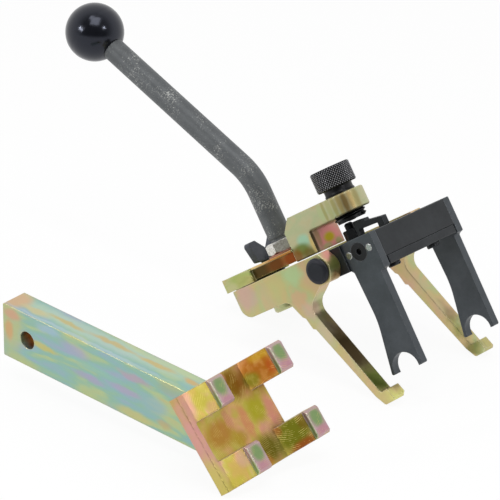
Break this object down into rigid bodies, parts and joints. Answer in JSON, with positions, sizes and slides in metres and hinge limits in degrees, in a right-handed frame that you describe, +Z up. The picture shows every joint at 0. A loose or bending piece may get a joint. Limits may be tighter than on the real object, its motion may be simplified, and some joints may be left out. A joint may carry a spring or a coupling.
{
  "type": "valve_spring_compressor",
  "caption": "Hooked lever valve spring compressor with a swinging fork frame, a knurled thumb screw, a bent ball-ended lever and a loose holding bar with a lugged head.",
  "frame": {"origin": "bottom centre of the whole set as it stands on a table", "axes": "+Z up from the table, +X from the lever ball towards the forks, +Y from the holding bar towards the tool"},
  "size_m": [0.335, 0.2948, 0.1787],
  "materials": {
    "yellow_zinc": "satin",
    "black_oxide": "satin",
    "rod_steel": "satin",
    "bright_zinc": "bright",
    "ground_steel": "bright",
    "black_phenolic": "gloss"
  },
  "bodies": {
    "lever_assembly": {"hook_front": "yellow_zinc", "hook_rear": "yellow_zinc", "pivot_pin_front": "black_oxide", "pivot_pin_rear": "black_oxide", "yoke_plate": "yellow_zinc", "yoke_pad": "yellow_zinc", "lever_bar": "yellow_zinc", "c_block": "yellow_zinc", "lever_rod": "rod_steel", "rod_washer": "yellow_zinc", "rod_lock_nut": "bright_zinc", "ball_knob": "black_phenolic", "clamp_nut": "yellow_zinc"},
    "fork_frame": {"fork_beam": "black_oxide", "fork_front": "black_oxide", "fork_rear": "black_oxide", "fork_screws": "black_oxide", "fork_dowels": "ground_steel", "beam_ledge": "black_oxide", "ledge_screws": "black_oxide", "stop_stud": "black_oxide", "stop_nut": "black_oxide", "stop_bridge": "black_oxide"},
    "screw_tip": {"thrust_pin": "black_oxide"},
    "thumb_screw": {"thumb_screw": "black_oxide"},
    "wing_screw": {"wing_screw": "black_oxide", "screw_collar": "black_oxide"},
    "holding_bar": {"holding_bar": "yellow_zinc", "four_lug_head": "yellow_zinc", "head_weld": "yellow_zinc"}
  },
  "joints": [
    {"name": "fork_swing", "type": "hinge", "parent": "lever_assembly", "child": "fork_frame", "pos_m": [0.08959, 0.08686, 0.07325], "axis": [0, -1, 0], "range_deg": [0, 20]},
    {"name": "screw_travel", "type": "slide", "parent": "lever_assembly", "child": "screw_tip", "axis": [-0.5903, 0, 0.8072], "range_m": [0, 0.005]},
    {"name": "thumb_screw_turn", "type": "hinge", "parent": "screw_tip", "child": "thumb_screw", "pos_m": [0.07378, 0.08686, 0.08758], "axis": [-0.5903, 0, 0.8072], "range_deg": [0, 720]},
    {"name": "wing_screw_turn", "type": "hinge", "parent": "lever_assembly", "child": "wing_screw", "pos_m": [-0.00053, 0.09966, 0.03893], "axis": [-0.5903, 0, 0.8072], "range_deg": [0, 120]},
    {"name": "holding_bar_lift", "type": "slide", "parent": "lever_assembly", "child": "holding_bar", "axis": [0, 0, 1], "range_m": [0, 0.03]}
  ],
  "couplings": [
    {"joint": "screw_travel", "follows": "thumb_screw_turn", "m_per_rad": 0.00039789}
  ]
}
